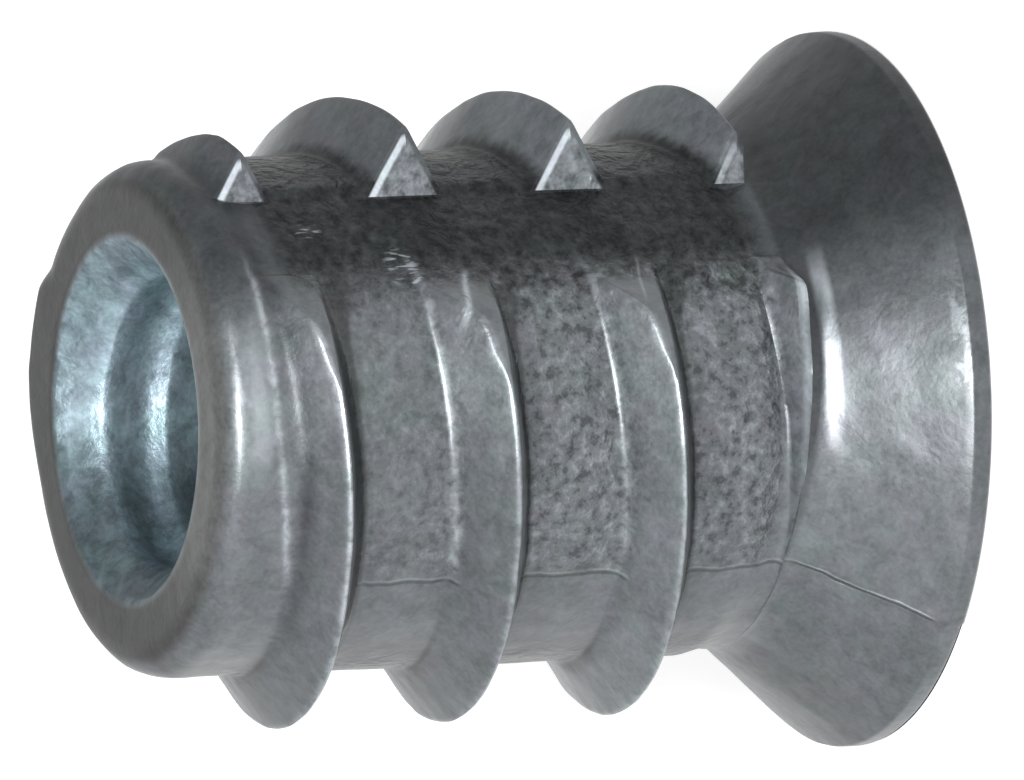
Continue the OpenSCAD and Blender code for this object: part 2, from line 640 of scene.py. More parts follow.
# ---------------------------------------------------------------- the casting
@dataclass
class CastInsert:
    """The one-piece casting: ridge, pilot end, threaded bore, head and socket."""

    # Steps of a section and how far they go along the axis, for one turn.
    RIDGE_LEGS = ((5, 0.62), (5, 0.30), (9, 0.56), (7, 0.24), (6, 0.35), (4, 0.20),
                  (8, 0.93))
    BORE_LEGS = ((2, 0.10), (3, 0.535), (2, 0.10), (3, 0.535))
    # The ridge's legs begin half a pitch before its crest.
    LEGS_BEGIN = 1.6
    # Share of the mouth's rounding that is taken off the height.
    LIP_SHARE = 0.3
    # Points this close to each other, in millimetres, become one.
    WELD = 0.0015
    SHARP_EDGE = 38.0

    sizes: InsertSizes = field(default_factory=InsertSizes)
    columns: int = 360
    name: str = "insert_nut_casting"

    def build(self, material: bpy.types.Material) -> bpy.types.Object:
        """Builds the casting through its node tree and makes it a plain mesh.

        Args:
            material: The finish of the casting.

        Returns:
            The finished object, in metres, at the origin.
        """
        tree = bpy.data.node_groups.new("insert_nut_form", "GeometryNodeTree")
        tree.interface.new_socket("Geometry", in_out="OUTPUT",
                                  socket_type="NodeSocketGeometry")
        sheet = Sheet(tree)
        values = asdict(self.sizes)
        sockets = {}
        for name, value in values.items():
            socket = tree.interface.new_socket(
                name.replace("_", " ").capitalize(), in_out="INPUT",
                socket_type="NodeSocketFloat")
            socket.default_value = value
            sockets[name] = socket
        start = sheet.node("NodeGroupInput")
        size: dict[str, Number] = {
            name: Term(sheet, start.outputs[socket.name])
            for name, socket in sockets.items()}
        size["lead_tan"] = sheet.tangent(size["lead_flank"])
        size["load_tan"] = sheet.tangent(size["load_flank"])
        self.sheet, self.size, self.thread = sheet, size, Thread(sheet, size)

        join = sheet.node("GeometryNodeJoinGeometry")
        for zone in (self.outer_wall(), self.end_wall(), self.neck_and_head(),
                     self.socket(), self.bore(), self.pilot_end()):
            sheet.put(join.inputs[0], zone)
        weld = sheet.node("GeometryNodeMergeByDistance")
        sheet.put(weld.inputs["Geometry"], join.outputs[0])
        sheet.put(weld.inputs["Distance"], self.WELD)
        flip = sheet.node("GeometryNodeFlipFaces")
        sheet.put(flip.inputs["Mesh"], weld.outputs[0])
        rough = self.cast_skin(flip.outputs[0])
        metres = sheet.node("GeometryNodeTransform")
        sheet.put(metres.inputs["Geometry"], rough)
        sheet.put(metres.inputs["Scale"], (0.001, 0.001, 0.001))
        real = sheet.node("GeometryNodeRealizeInstances")
        sheet.put(real.inputs[0], metres.outputs[0])
        dress = sheet.node("GeometryNodeSetMaterial")
        sheet.put(dress.inputs["Geometry"], real.outputs[0])
        dress.inputs["Material"].default_value = material
        end = sheet.node("NodeGroupOutput")
        sheet.put(end.inputs[0], dress.outputs[0])

        holder = bpy.data.objects.new("insert_nut_holder",
                                      bpy.data.meshes.new("insert_nut_holder"))
        bpy.context.scene.collection.objects.link(holder)
        form = holder.modifiers.new("form", "NODES")
        form.node_group = tree
        for name, socket in sockets.items():
            form[socket.identifier] = float(values[name])
        graph = bpy.context.evaluated_depsgraph_get()
        mesh = bpy.data.meshes.new_from_object(holder.evaluated_get(graph))
        holder.modifiers.remove(form)
        bpy.data.objects.remove(holder)
        mesh.name = self.name
        mesh.polygons.foreach_set("use_smooth", [True] * len(mesh.polygons))
        mesh.set_sharp_from_angle(angle=math.radians(self.SHARP_EDGE))
        piece = bpy.data.objects.new(self.name, mesh)
        bpy.context.scene.collection.objects.link(piece)
        return piece

    # ------------------------------------------------------------ zones
    def lattice(self, rows: int) -> tuple[bpy.types.NodeSocket, Term, Term]:
        """Adds a grid that goes once round the axis.

        Args:
            rows: Rows of points along the section.

        Returns:
            The grid, the number of each point's row and its even angle.
        """
        sheet, across = self.sheet, self.columns + 1
        grid = sheet.node("GeometryNodeMeshGrid")
        grid.inputs["Vertices X"].default_value = rows
        grid.inputs["Vertices Y"].default_value = across
        index = sheet.once("INDEX", (), lambda: Term(
            sheet, sheet.node("GeometryNodeInputIndex").outputs[0]))
        row = sheet.floor((index + 0.5) * (1 / across))
        angle = (index - row * across) * (360 / self.columns)
        return grid.outputs["Mesh"], row, angle

    def wound(self, turns: int, legs: Sequence[tuple[int, float]]
              ) -> tuple[bpy.types.NodeSocket, Term, Term, Term]:
        """Adds a grid whose rows run along a helix of several turns.

        Args:
            turns: How many turns there are.
            legs: Steps of the section and how far they go, for one turn.

        Returns:
            The grid, its even angle, each row's whole turn and its way into it.
        """
        sheet, each = self.sheet, sum(steps for steps, _ in legs)
        grid, row, even = self.lattice(turns * each + 1)
        whole = sheet.low(sheet.floor((row + 0.5) * (1 / each)), turns - 1)
        return grid, even, whole, sheet.stations(row - whole * each, legs)

    def set_points(self, grid: bpy.types.NodeSocket, radius: Number, angle: Number,
                   height: Number) -> bpy.types.NodeSocket:
        """Moves a grid's points to places round the axis.

        Args:
            grid: The grid.
            radius: Radius of each point.
            angle: Angle of each point.
            height: Height of each point.

        Returns:
            The moved grid.
        """
        sheet = self.sheet
        move = sheet.node("GeometryNodeSetPosition")
        sheet.put(move.inputs["Geometry"], grid)
        sheet.put(move.inputs["Position"], sheet.vector(
            radius * sheet.cosine(angle), radius * sheet.sine(angle) * -1.0, height))
        return move.outputs[0]

    def leaned(self, even: Term, height: Number) -> Term:
        """Shifts the columns so that some lie on the edges of the gaps.

        Args:
            even: The even angle of a column.
            height: Height of the point before the shift.

        Returns:
            The angle at which the column stands.
        """
        sheet, wall = self.sheet, self.size["gap_wall"]
        radius = self.thread.radius(height, even)
        foot = self.thread.base(height, 31.0) - self.thread.gap_floor(height)
        local = sheet.past(even, 180.0)

        def first(r: Term) -> Term:
            """Angle of the wall that faces the front, at a radius."""
            return sheet.sum("ARCSINE", wall / r) / RADIAN

        def second(r: Term) -> Term:
            """Angle of the wall that faces up, at a radius."""
            return sheet.sum("ARCCOSINE", wall / r) / RADIAN

        shift = self.bend(local, first(radius), first(foot), 15.0, 25.0, 31.0, 42.0)
        shift = shift + self.bend(local, second(foot), second(radius),
                                  48.0, 57.0, 63.0, 74.0)
        return even + shift

    def bend(self, local: Term, edge: Term, foot: Term, start: float, first: float,
             second: float, end: float) -> Term:
        """Bends a span of angles so that two of them fall where they should.

        Args:
            local: The even angle, from 0 to 180.
            edge: Where the angle called first should lie.
            foot: Where the angle called second should lie.
            start: Angle from which the span is bent.
            first: The first of the two angles.
            second: The second of them.
            end: Angle up to which the span is bent.

        Returns:
            What is added to the even angle.
        """
        sheet = self.sheet
        at_first = sheet.ramp(local, start, first, smooth=False)
        at_second = sheet.ramp(local, first, second, smooth=False)
        at_end = sheet.ramp(local, second, end, smooth=False)
        return ((edge - first) * (at_first - at_second)
                + (foot - second) * (at_second - at_end))

    def outer_wall(self) -> bpy.types.NodeSocket:
        """Makes the threaded wall, whose rows run along the ridge.

        Returns:
            The wall's mesh.
        """
        sheet, size = self.sheet, self.size
        grid, even, whole, offset = self.wound(5, self.RIDGE_LEGS)
        offset = offset - self.LEGS_BEGIN
        top = size["body_length"] - size["face_edge"]

        def height(angle: Term) -> Term:
            """Height of a row at an angle, held between the wall's two ends."""
            free = (size["body_length"] - size["first_crest"] - size["ridge_pitch"]
                    * (whole - 1.0 + angle * (1 / 360)) - offset)
            return sheet.limit(free, size["thread_end"], top)

        angle = self.leaned(even, height(even))
        level = height(angle)
        return self.set_points(grid, self.wall_radius(level, angle), angle, level)

    def wall_radius(self, height: Number, angle: Term) -> Term:
        """Gives the radius of the outer wall, with its gaps.

        Args:
            height: Height above the head face.
            angle: Angle round the axis.

        Returns:
            The radius.
        """
        ridge = self.thread.radius(height, angle)
        return self.sheet.high(self.thread.gapped(ridge, angle),
                               self.thread.base(height, angle))

    def end_wall(self) -> bpy.types.NodeSocket:
        """Makes the flat wall in which the ridge ends.

        Returns:
            The wall's mesh.
        """
        size = self.size
        grid, row, even = self.lattice(4)
        level = size["thread_end"]
        angle = self.leaned(even, level)
        outer = self.wall_radius(level, angle)
        inner = size["neck_r"] + self.thread.flare(level)
        return self.set_points(grid, outer + (inner - outer) * row * (1 / 3), angle,
                               level)

    def root_angle(self, even: Term) -> Term:
        """Gives a column's angle on the plain wall, where the gaps have no depth."""
        return self.leaned(even, self.size["body_length"] - self.size["face_edge"])

    def traced(self, step: Term, start: tuple[Number, Number],
               legs: Sequence[Union[Line, Arc]]) -> tuple[Term, Term]:
        """Walks along a section of straight legs and arcs.

        Args:
            step: How many steps have been taken.
            start: Radius and height at which the walk starts.
            legs: The legs.  Headings are in degrees from the radius, upwards.

        Returns:
            Radius and height of the point.
        """
        sheet = self.sheet
        radius, height = start
        taken = 0
        for leg in legs:
            share = sheet.limit(step - taken, 0.0, leg.steps) * (1.0 / leg.steps)
            if isinstance(leg, Line):
                radius = share * leg.out + radius
                height = share * leg.up + height
            else:
                heading = share * (leg.last - leg.first) + leg.first
                radius = (sheet.sine(heading) - sheet.sine(leg.first)) \
                    * leg.radius * leg.way + radius
                height = (sheet.cosine(heading) - sheet.cosine(leg.first)) \
                    * leg.radius * -leg.way + height
            taken += leg.steps
        return radius, height

    def neck_and_head(self) -> bpy.types.NodeSocket:
        """Makes the neck, the countersunk cone, the rim and the head face.

        Returns:
            Their mesh.
        """
        sheet, size = self.sheet, self.size
        half = size["half_cone"]
        half_sine, half_cosine = sheet.sine(half), sheet.cosine(half)
        run = size["cone_fillet"] * sheet.tangent(half * 0.5)
        begun = sheet.sum("ARCSINE", (self.thread.fillet_top() - size["thread_end"])
                          / size["cone_fillet"]) / RADIAN
        rim_run = size["rim_round"] * sheet.tangent(half * 0.5)
        slope = (size["head_r"] - size["neck_r"]) / half_sine - run - rim_run
        legs = [
            Arc(10, size["cone_fillet"], begun - 90.0, half - 90.0, 1.0),
            Line(14, slope * half_sine, slope * half_cosine * -1.0),
            Arc(3, size["rim_round"], half - 90.0, -90.0, -1.0),
            Line(2, 0.0, (size["rim_height"] - rim_run - size["rim_round"]) * -1.0),
            Arc(4, size["rim_round"], -90.0, -180.0, -1.0),
            Line(6, size["socket_lead_r"] - size["head_r"] + size["rim_round"], 0.0)]
        rows = sum(leg.steps for leg in legs) + 1
        grid, row, even = self.lattice(rows)
        neck_r = size["neck_r"] + self.thread.flare(size["thread_end"])
        radius, height = self.traced(row, (neck_r, size["thread_end"]), legs)
        low = sheet.within(even, Seam.LOWER.value + 0.5, Seam.HIDDEN_GAP.value, 0.5)
        radius = radius - low * sheet.cosine(even - 180.0) * size["low_sector_shift"] \
            * sheet.within(row, 0.9, 32.5, 0.4)
        lean = self.leaned(even, size["thread_end"])
        settled = sheet.ramp(row, 0.0, 4.0, smooth=False)
        angle = lean + (even - lean) * settled
        return self.set_points(grid, radius, angle, height)

    def socket(self) -> bpy.types.NodeSocket:
        """Makes the hex socket, from its chamfered mouth to its floor.

        Returns:
            The socket's mesh.
        """
        sheet, size = self.sheet, self.size
        legs = [(10, 0.7), (4, 3.8)]
        grid, row, even = self.lattice(20)
        level = sheet.low(sheet.stations(row, legs), size["socket_depth"])
        across = sheet.past(even, 60.0) - 30.0
        flats = size["socket_af"] * 0.5 / sheet.cosine(across)
        wall = sheet.high(flats, size["socket_lead_r"] - level)
        floor = sheet.ramp(row, 14.0, 19.0, smooth=False)
        return self.set_points(grid, wall + (size["floor_lead_r"] - wall) * floor,
                               even + (self.paired(even) - even) * floor, level)

    def paired(self, even: Term) -> Term:
        """Gives the angle that a column of the bore shares with its neighbour."""
        pairs = self.columns / 2
        return self.sheet.floor(even * (pairs / 360) + 0.25) * (360 / pairs)

    def bore_start(self) -> Term:
        """Gives the height of the bore's first groove at +X, below the socket floor."""
        return self.size["socket_depth"] - 1.3 + self.size["bore_phase"]

    def bore(self) -> bpy.types.NodeSocket:
        """Makes the threaded bore, whose rows run along its groove.

        Returns:
            The bore's mesh.
        """
        sheet, size = self.sheet, self.size
        grid, even, whole, offset = self.wound(9, self.BORE_LEGS)
        paired = self.paired(even)
        free = self.bore_start() + size["bore_pitch"] \
            * (whole - paired * (1 / 360) + 1.0) + offset
        top = size["body_length"] - size["mouth_round"] * self.LIP_SHARE
        level = sheet.limit(free, size["socket_depth"], top)
        return self.set_points(grid, self.bore_radius(level, paired), paired, level)

    def bore_radius(self, height: Number, angle: Number) -> Term:
        """Gives the radius of the threaded bore with its countersinks.

        Args:
            height: Height above the head face.
            angle: Angle round the axis.

        Returns:
            The radius.
        """
        sheet, size = self.sheet, self.size
        along = (height - self.bore_start()) / size["bore_pitch"] + angle * (1 / 360)
        local = along - sheet.floor(along)
        wave = sheet.ramp(local, 0.0, 0.36) * sheet.ramp(local, 0.36, 1.0, 1.0, 0.0)
        groove = size["bore_r"] + (size["groove_r"] - size["bore_r"]) * wave
        mouth = size["mouth_r"] - (size["body_length"] - height)
        floor = size["floor_lead_r"] - (height - size["socket_depth"])
        return sheet.high(sheet.soft_high(groove, mouth, 0.35), floor)

    def pilot_end(self) -> bpy.types.NodeSocket:
        """Makes the end face, from the bore's mouth to the rounded outer corner.

        Returns:
            The end's mesh.
        """
        sheet, size = self.sheet, self.size
        ease = size["mouth_round"]
        edge = size["face_edge"]
        grid, row, even = self.lattice(20)
        bend = self.thread.corner(even)
        turn = sheet.sum("ARCCOSINE", sheet.high(1.0 - edge / bend, 0.0)) / RADIAN
        lip = size["body_length"] - ease * self.LIP_SHARE
        start_r = self.bore_radius(lip, even)
        legs = [Line(3, size["mouth_r"] - start_r + ease, ease * self.LIP_SHARE),
                Line(5, size["root_r"] - bend - size["mouth_r"] - ease, 0.0),
                Arc(9, bend, 0.0, turn * -1.0, -1.0),
                Line(2, 0.0, sheet.high(edge - bend, 0.0) * -1.0)]
        radius, height = self.traced(row, (start_r, lip), legs)
        paired = self.paired(even)
        first = row < 0.5
        angle = even + (self.root_angle(even) - even) * sheet.ramp(
            row, 3.0, 8.0, smooth=False)
        angle = angle + (paired - angle) * first
        radius = radius + (self.bore_radius(lip, paired) - radius) * first
        return self.set_points(grid, radius, angle, height)

    def cast_skin(self, mesh: bpy.types.NodeSocket) -> bpy.types.NodeSocket:
        """Gives the outside the gentle unevenness of a casting.

        Args:
            mesh: The welded mesh.

        Returns:
            The mesh with its points moved a little.
        """
        sheet = self.sheet
        place = sheet.node("GeometryNodeInputPosition").outputs[0]
        x, y, z = sheet.split(place)
        radius = sheet.root(x * x + y * y)
        swell = (sheet.noise(place, 1.1, 1.0) - 0.5) * 0.05 * sheet.ramp(
            radius, 4.1, 4.4) * sheet.ramp(z, 0.1, 0.5)
        push = sheet.node("ShaderNodeVectorMath", operation="SCALE")
        sheet.put(push.inputs[0], sheet.node("GeometryNodeInputNormal").outputs[0])
        sheet.put(push.inputs["Scale"], swell)
        move = sheet.node("GeometryNodeSetPosition")
        sheet.put(move.inputs["Geometry"], mesh)
        sheet.put(move.inputs["Offset"], push.outputs[0])
        return move.outputs[0]


# ---------------------------------------------------------------- finish
class Span(Enum):
    """Ranges of the finish: lower end, upper end and width of the eased edges."""

    # Heights above the head face.
    LANDS = (3.2, 12.4, 0.3)
    HOLLOW_HEIGHT = (2.20, 2.44, 0.06)
    # Radius of the rim's painted highlight, and offset of the shade behind the crest.
    RIM_RADIUS = (6.24, 6.42, 0.04)
    SHADE_OFFSET = (0.20, 0.64, 0.06)
    # Degrees round each half of the casting.
    # The tone paints shade over the next four spans; GAP and RESTART also shape the
    # relief.
    GAP = (-16.0, 63.0, 12.0)
    UNDER_GAP = (-24.0, 22.0, 7.0)
    GAP_POCKET = (35.0, 50.0, 5.0)
    RESTART = (50.0, 74.0, 7.0)
    # Degrees round the whole casting.
    BACK = (150.0, 300.0, 10.0)
    FRONT = (56.0, 131.0, 6.0)
    LIT_RING = (55.0, 140.0, 25.0)
    LIT_FLANK = (55.0, 215.0, 15.0)
    FLANK_GLINT = (60.0, 92.0, 8.0)
    SHADE = (60.0, 215.0, 15.0)
    # CREST and ROOT hold the painted highlight lines, and END_EDGE, CORNER, HOLLOW and
    # RIM further painted highlights.
    CREST = (72.0, 200.0, 10.0)
    ROOT = (56.0, 128.0, 8.0)
    END_EDGE = (62.0, 112.0, 6.0)
    CORNER = (74.0, 100.0, 9.0)
    HOLLOW = (62.0, 96.0, 7.0)
    RIM = (74.0, 90.0, 4.0)
    CONE_SHADE = (70.0, 108.0, 8.0)


@dataclass(frozen=True)
class Lap:
    """A fold of the cast skin, which runs slantwise over a span of angles."""

    height: float
    slope: float
    first: float
    last: float
    width: float
    strength: float


# Each lap's strength is how bright its painted highlight is.
LAPS = (Lap(9.05, 0.0306, 59.0, 74.0, 0.06, 1.1),
        Lap(5.64, 0.0248, 57.0, 69.0, 0.03, 0.45))


class Zones:
    """Where a point of the casting lies, as sums over its own coordinates."""

    def __init__(self, sheet: Sheet, place: bpy.types.NodeSocket,
                 sizes: InsertSizes) -> None:
        """Works the zones out.

        Args:
            sheet: The material's tree.
            place: The point, in millimetres.
            sizes: The casting's sizes.
        """
        self.sheet, self.sizes = sheet, sizes
        self.x, self.y, self.z = x, y, z = sheet.split(place)
        self.radius = radius = sheet.root(x * x + y * y)
        around = sheet.sum("ARCTAN2", y * -1.0, x) / RADIAN
        self.angle = angle = around + (around < 0.0) * 360.0
        self.half_turn = sheet.past(angle, 180.0)
        self.swung = self.half_turn - (self.half_turn > 125.0) * 180.0

        self.outside = sheet.ramp(radius, 4.0, 4.3)
        self.inside = (1.0 - sheet.ramp(radius, 3.2, 3.4)) * sheet.ramp(z, 4.6, 5.2)
        self.above_root = sheet.ramp(radius, 4.66, 4.90)
        self.cone = sheet.ramp(z, 2.75, 2.95, 1.0, 0.0)
        self.end_ring = sheet.ramp(z, 13.80, 13.96) * (1.0 - self.inside)
        self.land = self.over(z, Span.LANDS) * (1.0 - self.above_root)
        # The tone paints shade over this sector round the gaps; roughness and relief
        # use it too.
        self.gap = self.over(self.swung, Span.GAP) * self.outside \
            * sheet.changed(self.over(angle, Span.BACK), -0.5)
        self.rough_land = self.over(angle, Span.FRONT) * self.outside * self.land \
            * sheet.ramp(z, 8.6, 10.6, 1.0, 0.5)
        self.restart = self.over(self.half_turn, Span.RESTART) * self.above_root * (
            z > 3.0) * self.outside * (1.0 - sheet.ramp(z, 12.6, 13.0))
        self.follow_ridge(sizes)

    def over(self, value: Number, span: Span) -> Term:
        """Gives 1 where a number lies in a span, and 0 outside it."""
        return self.sheet.within(value, *span.value)

    def follow_ridge(self, sizes: InsertSizes) -> None:
        """Works out where the point lies beside the ridge.

        Args:
            sizes: The casting's sizes.
        """
        sheet, z = self.sheet, self.z
        lead_tan = math.tan(math.radians(sizes.lead_flank))
        load_tan = math.tan(math.radians(sizes.load_flank))
        self.thread = thread = Thread(
            sheet, asdict(sizes) | {"lead_tan": lead_tan, "load_tan": load_tan})
        turns, offset = thread.place(z, self.angle)
        self.offset = offset
        self.grown = thread.grown(turns)
        self.full = full = thread.full(turns)
        missing = full * (1.0 - thread.climbed(turns))
        self.lead_crest = offset + missing * lead_tan
        self.load_crest = offset - missing * load_tan
        flank = thread.spread(turns) * full * lead_tan
        self.first_turn = thread.first_turn(turns)
        self.beside_root = offset + flank - self.first_turn * (flank - 1.0)
        # The tone paints shade over this band at the first turn's root, and its gloss
        # is lowered there.
        self.foot = sheet.bump(offset + flank, 0.04, 0.16) * self.first_turn


class CastSkin(Zones):
    """Tone, with its painted light and shade, gloss and relief of the cast skin, place
    by place.
    """

    def __init__(self, sheet: Sheet, place: bpy.types.NodeSocket,
                 sizes: InsertSizes) -> None:
        """Reads the uneven patterns of the skin, each round a half.

        Args:
            sheet: The material's tree.
            place: The point, in millimetres.
            sizes: The casting's sizes.
        """
        super().__init__(sheet, place, sizes)
        self.clouds = sheet.noise(place, 0.9, 3.0, 0.55)
        self.blotch = sheet.noise(place, 3.0, 3.0, 0.6, 0.6)
        self.grain = sheet.noise(place, 11.0, 2.0, 0.6)
        self.folds = sheet.noise(place, 2.1, 2.0, 0.6, 0.8)
        self.speckle = sheet.noise(place, 4.4, 3.0, 0.65)
        self.hue = sheet.noise(place, 1.4, 2.0, 0.5)

    def plain_tone(self) -> Term:
        """Gives the tone of the skin, with painted shade over the gap sector and on
        other shaded parts, and painted light on the flanks that face the lamps.

        Returns:
            The tone, about 1 on plain skin.
        """
        sheet, z, over = self.sheet, self.z, self.over
        tone = 1.0 + (self.clouds - 0.5) * 0.6 + (self.blotch - 0.5) * 0.95 \
            + (self.grain - 0.5) * 0.6
        # How strong the painted shade over the gap sector is.
        deep = 0.44 + self.land * 0.35 + self.cone * 0.12 \
            + sheet.ramp(z, 12.5, 13.1) * 0.12 \
            - self.above_root * sheet.ramp(z, 6.2, 9.5, 0.42, 0.18) * (z > 3.0)
        plain_top = sheet.ramp(self.radius, 4.63, 4.70, 1.0, 0.0)
        # Painted shade in the pocket under each gap wall.
        pocket_shade = over(self.half_turn, Span.GAP_POCKET) * self.land \
            * sheet.bump(self.offset, -0.05, 0.5)
        # Painted light on the lead flanks that face the lamps, most towards the head,
        # with a painted highlight where they face the front.
        flank = self.above_root * (self.lead_crest < 0.0) * (z > 2.85) \
            * over(self.angle, Span.LIT_FLANK)
        lift = sheet.ramp(z, 3.2, 9.2, 0.72, 0.0, smooth=False) * sheet.ramp(
            self.angle, 115.0, 132.0, 1.0, 0.65)
        pits = sheet.ramp(self.speckle, 0.34, 0.50, 1.0, 0.0) \
            - sheet.ramp(self.speckle, 0.52, 0.68)
        changes = (
            # Painted shade over the gap sector.
            (self.gap * deep * (1.0 - self.end_ring), -1.0),
            (self.gap * self.land * (self.speckle - 0.5), 3.4),
            # Painted shade on the lands round the +X and -X sides.
            (self.land * plain_top * over(self.swung, Span.UNDER_GAP), -0.5),
            # Painted shade on the end ring, least across its lit front.
            (self.end_ring * (0.64 - over(self.angle, Span.LIT_RING) * 0.54), -1.0),
            # Painted shade on the cone: a little across the front, where the lamps'
            # sheen falls, and more on its upper side.
            (self.cone * over(self.angle, Span.CONE_SHADE), -0.14),
            (self.cone * self.outside
             * sheet.ramp(self.angle, 70.0, 88.0, 1.0, 0.0), -0.25),
            # Painted shade on the ridge where it starts again behind a gap.
            (self.restart * (sheet.ramp(z, 8.5, 10.0, 0.28, 0.09)
                             + sheet.ramp(z, 3.6, 4.4, 0.25, 0.0)), -1.0),
            (pocket_shade, -0.45),
            # Painted light on the lead flanks.
            (flank * (lift + over(self.angle, Span.FLANK_GLINT) * 0.22), 1.0),
            (self.rough_land * pits, -0.55),
            # Painted shade along the root of the first turn, dimming its bright line.
            (self.foot, -0.6))
        for mask, share in changes:
            tone = tone * sheet.changed(mask, share)
        return tone

    def bore_tone(self) -> Term:
        """Gives the painted light in the bore, with painted shade deeper in it and on
        its -X side.

        Returns:
            The factor, 1 outside the bore.
        """
        sheet, inside = self.sheet, self.inside
        # Painted light in the bore, stronger below its countersunk mouth.
        mouth = sheet.ramp(self.z, 13.1, 13.5, 1.3, 0.0)
        light = sheet.changed(inside * (0.9 + (self.blotch - 0.5) * 2.0 + mouth), 1.0)
        # Painted shade deeper in the bore.
        deep = sheet.changed(inside * sheet.ramp(self.z, 9.6, 12.2, 1.0, 0.0), -0.55)
        # Painted shade on the -X side of the bore.
        back = sheet.changed(inside * sheet.ramp(self.x, -1.5, 0.2, 1.0, 0.0), -0.55)
        return light * deep * back

    def shade_behind_crest(self) -> Term:
        """Gives the dark band on the flank that faces the head."""
        return self.over(self.load_crest, Span.SHADE_OFFSET) * self.outside * (
            self.z > 2.9) * (self.grown > 0.3) * self.over(self.angle, Span.SHADE)

    def painted_highlight_lines(self) -> Term:
        """Gives the broken painted highlights along the ridge's crest and its root.

        Returns:
            About 1 on a line, and more on the first turn.
        """
        sheet = self.sheet
        crest = sheet.bump(self.lead_crest, -0.02, 0.06) \
            * self.over(self.angle, Span.CREST) * sheet.changed(self.first_turn, 1.6)
        root = sheet.bump(self.beside_root, 0.02, 0.065) \
            * self.over(self.angle, Span.ROOT) * sheet.changed(self.first_turn, 1.0)
        breaks = sheet.ramp(self.blotch, 0.36, 0.6, 0.35, 1.0)
        return sheet.high(crest, root) * self.outside * breaks * (self.z > 2.9) * (
            self.grown > 0.2)

    def glints(self) -> Term:
        """Gives the painted highlights that face the front: along the cold laps, on the
        edge of the end wall, round the pilot corner, on the fillet under the cone and
        on the rim.

        Returns:
            What they add to the tone.
        """
        sheet, over = self.sheet, self.over
        end_edge = sheet.bump(self.z, 2.93, 0.055) * self.above_root \
            * over(self.angle, Span.END_EDGE)
        corner = sheet.bump(self.z, 13.36, 0.30) * (1.0 - self.end_ring) \
            * self.outside * over(self.angle, Span.CORNER) * (0.95 + self.blotch)
        hollow = over(self.z, Span.HOLLOW_HEIGHT) * over(self.angle, Span.HOLLOW) \
            * self.outside * sheet.ramp(self.radius, 4.85, 4.95, 1.0, 0.0)
        rim = over(self.radius, Span.RIM_RADIUS) * over(self.angle, Span.RIM) \
            * sheet.ramp(self.blotch, 0.42, 0.58) * self.cone
        return self.laps() * self.outside * 1.6 + end_edge * 1.5 + corner \
            + hollow * 1.8 + rim * 0.7

    def gap_walls(self, tone: Term) -> Term:
        """Paints light on the flat walls in which the ridge stops before a gap.

        Args:
            tone: The tone without the walls.

        Returns:
            The tone with painted light on them, and with painted highlights on their
            upper edges.
        """
        sheet, z = self.sheet, self.z
        wall = sheet.bump(sheet.sum("ABSOLUTE", self.y), self.sizes.gap_wall, 0.03) * (
            self.radius > 4.52) * ((self.x * self.y) < 0.0) * (z > 2.9) * (z < 13.4)
        below_crest = self.full + self.sizes.root_r - self.radius
        below_edge = self.thread.radius(z, self.angle) - self.radius
        ahead = self.offset < 0.0
        # Painted light on the walls, and painted highlights along their upper edges.
        lit = wall * sheet.ramp(below_crest, 0.10, 0.22) * sheet.high(
            sheet.ramp(below_edge, 0.12, 0.28),
            ahead * sheet.ramp(below_edge, 0.08, 0.15))
        edge = lit * sheet.ramp(below_edge, 0.24, 0.34, 1.0, 0.0) * ahead \
            * sheet.ramp(z, 3.2, 4.4, 0.3, 1.0)
        return tone + (1.4 + (self.speckle - 0.5) * 4.0 - tone) * lit + edge * 3.2

    def bare(self) -> Term:
        """Gives the share of the gloss that is left in gaps, ring, root and bore.

        Returns:
            The share, 1 on plain skin.
        """
        sheet = self.sheet
        beside = sheet.sum("ABSOLUTE", self.x - 0.35)
        off_glint = sheet.ramp(beside, 0.25, 0.8, 0.2, 0.9)
        return (sheet.changed(self.gap, -0.8) * sheet.changed(self.end_ring, -0.7)
                * sheet.changed(self.foot, -0.9)
                * sheet.changed(self.inside * off_glint, -1.0))

    def relief(self, seam: Term) -> bpy.types.NodeSocket:
        """Gives the fine relief of pits, folds and parting lines.

        Args:
            seam: The parting lines.

        Returns:
            The surface's direction.
        """
        sheet, gap_land = self.sheet, self.gap * self.land
        height = (self.grain - 0.5) * (0.003 + self.rough_land * 0.003)
        height = height + (self.folds - 0.5) * (
            self.rough_land * 0.07 + self.restart * 0.045 + gap_land * 0.13 + 0.008)
        height = height + (self.speckle - 0.5) * (
            self.rough_land * 0.05 + gap_land * 0.05 + self.inside * 0.02)
        bump = sheet.node("ShaderNodeBump")
        bump.inputs["Distance"].default_value = 0.001
        sheet.put(bump.inputs["Strength"],
                  sheet.changed(sheet.bump(self.beside_root, 0.0, 0.16), -1.0))
        sheet.put(bump.inputs["Height"], height + seam * 0.02)
        return bump.outputs[0]

    def seam(self) -> Term:
        """Gives the parting lines: a crest beside a hollow, which the bump raises and
        the tone shows with a painted highlight on the crest and painted shade in the
        hollow.

        Returns:
            About 1 on a crest and -1 in the hollow beside it.
        """
        sheet, height, radius = self.sheet, self.z, self.radius
        drawn = sheet.vector(height, self.angle * 0.02, 0.0)
        wander = (sheet.noise(drawn, 1.3, 2.0) - 0.5) * 0.22
        total: Number = 0.0
        for seam in (Seam.LOWER, Seam.UPPER):
            away = (self.angle - seam.value) * radius * RADIAN + wander
            total = sheet.bump(away, 0.0, 0.03) - sheet.bump(away, 0.07, 0.03) + total
        bare = 1.0 - sheet.ramp(radius, 4.70, 4.85) * (height > 2.9)
        ends = sheet.ramp(height, 10.9, 11.2, 1.0, 0.0) * sheet.ramp(height, 0.45, 0.65)
        return total * (radius > 4.3) * bare * ends

